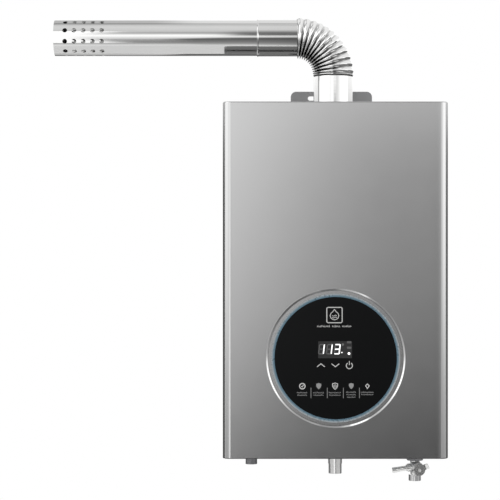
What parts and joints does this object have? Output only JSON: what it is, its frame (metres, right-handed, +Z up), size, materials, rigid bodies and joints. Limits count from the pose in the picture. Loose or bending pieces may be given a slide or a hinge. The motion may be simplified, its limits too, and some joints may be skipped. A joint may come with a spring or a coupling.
{
  "type": "wall-hung tankless gas water heater",
  "caption": "Slim grey wall-hung gas water heater with a round black touch panel, a corrugated exhaust elbow and pipe on top, and pipe fittings below.",
  "frame": {"origin": "centre of the case's back, on the wall's surface", "axes": "+Y into the wall (the front faces -Y), +Z up, +X to the right seen from the front"},
  "size_m": [0.6255, 0.1424, 0.7454],
  "materials": {
    "satin_metal": "satin metallic, light to dark with the light",
    "grey_steel": "satin",
    "galvanised": "dull zinc",
    "bright_steel": "bright",
    "stainless": "polished",
    "chrome": "polished",
    "nickel": "satin nickel plate",
    "dark_metal": "satin",
    "black_metal": "semi-gloss",
    "cast_aluminium": "as cast",
    "copper": "bright copper",
    "brass": "machined",
    "blue_grey_plastic": "satin",
    "black_plastic": "matt",
    "white_plastic": "matt",
    "circuit_board": "solder mask",
    "black_glass": "gloss",
    "rubber": "matt",
    "silicone": "matt",
    "ceramic": "unglazed"
  },
  "bodies": {
    "case": {"back_plate": "grey_steel", "bottom_plate": "galvanised", "case_screws": "bright_steel", "cord_grommet": "rubber", "flue_collar": "stainless", "collar_gasket": "rubber", "flue_hood": "galvanised", "fan_housing": "cast_aluminium", "fan_motor": "black_metal", "combustion_chamber": "copper", "exchanger_fins": "copper", "exchanger_tube": "copper", "electrodes": "ceramic", "electrode_leads": "silicone", "igniter_module": "black_plastic", "burner_frame": "galvanised", "burner_bars": "stainless", "gas_nozzles": "brass", "gas_manifold": "cast_aluminium", "gas_feed_pipe": "cast_aluminium", "gas_valve_body": "cast_aluminium", "gas_solenoids": "black_plastic", "gas_plungers": "bright_steel", "gas_inlet_fitting": "nickel", "hot_outlet_fitting": "dark_metal", "cold_inlet_fitting": "brass", "fitting_nuts": "brass", "flow_sensor_body": "white_plastic", "cold_pipe": "copper", "hot_pipe": "copper", "water_sensors": "black_plastic", "overheat_thermostat": "ceramic", "control_box": "white_plastic", "main_board": "circuit_board", "relief_valve_body": "chrome", "discharge_spout": "chrome", "valve_union_nut": "dark_metal", "valve_washer": "rubber", "relief_bonnet": "chrome", "lever_pin": "bright_steel", "relief_spring": "bright_steel"},
    "cover": {"front_cover": "satin_metal", "panel_bezel": "chrome", "light_ring": "blue_grey_plastic", "glass_panel": "black_glass", "panel_housing": "black_plastic", "touch_board": "circuit_board", "display_module": "black_plastic", "touch_springs": "bright_steel"},
    "duct_lower": {"duct_cuff": "stainless", "corrugated_bend": "stainless"},
    "duct_upper": {"duct_sleeve": "stainless"},
    "flue_pipe": {"straight_pipe": "stainless", "pipe_end_cap": "stainless"},
    "fan": {"fan_impeller": "galvanised", "fan_shaft": "bright_steel"},
    "turbine": {"flow_turbine": "white_plastic"},
    "test_lever": {"relief_lever": "chrome"},
    "valve_stem": {"relief_stem": "chrome"},
    "swivel_nut": {"supply_nut": "chrome"}
  },
  "joints": [
    {"name": "cover_pull", "type": "slide", "parent": "case", "child": "cover", "axis": [0, -1, 0], "range_m": [0, 0.2]},
    {"name": "duct_turn", "type": "hinge", "parent": "case", "child": "duct_lower", "pos_m": [0, -0.062, 0.3], "axis": [0, 0, 1], "continuous": true},
    {"name": "elbow_bend", "type": "hinge", "parent": "duct_lower", "child": "duct_upper", "pos_m": [-0.0213, -0.062, 0.3676], "axis": [0, -1, 0], "range_deg": [-20, 20], "deforming": ["corrugated_bend"]},
    {"name": "pipe_slide", "type": "slide", "parent": "duct_upper", "child": "flue_pipe", "axis": [-1, 0, 0], "range_m": [0, 0.03]},
    {"name": "fan_spin", "type": "hinge", "parent": "case", "child": "fan", "pos_m": [-0.023, -0.062, 0.208], "axis": [0, 1, 0], "continuous": true},
    {"name": "turbine_spin", "type": "hinge", "parent": "case", "child": "turbine", "pos_m": [0.1315, -0.062, -0.235], "axis": [0, 0, 1], "continuous": true},
    {"name": "lever_lift", "type": "hinge", "parent": "case", "child": "test_lever", "pos_m": [0.12812, -0.08261, -0.3101], "axis": [0.403, 0.3043, -0.8631], "range_deg": [0, 17]},
    {"name": "stem_lift", "type": "slide", "parent": "case", "child": "valve_stem", "axis": [0.2606, -0.9422, -0.2105], "range_m": [0, 0.00308], "stiffness_N_per_m": 15, "springref_m": -0.004, "deforming": ["relief_spring"]},
    {"name": "nut_spin", "type": "hinge", "parent": "case", "child": "swivel_nut", "pos_m": [0.1315, -0.062, -0.319], "axis": [0, 0, 1], "continuous": true}
  ],
  "couplings": [
    {"joint": "lever_lift", "follows": "stem_lift", "rad_per_m": 96.15}
  ]
}
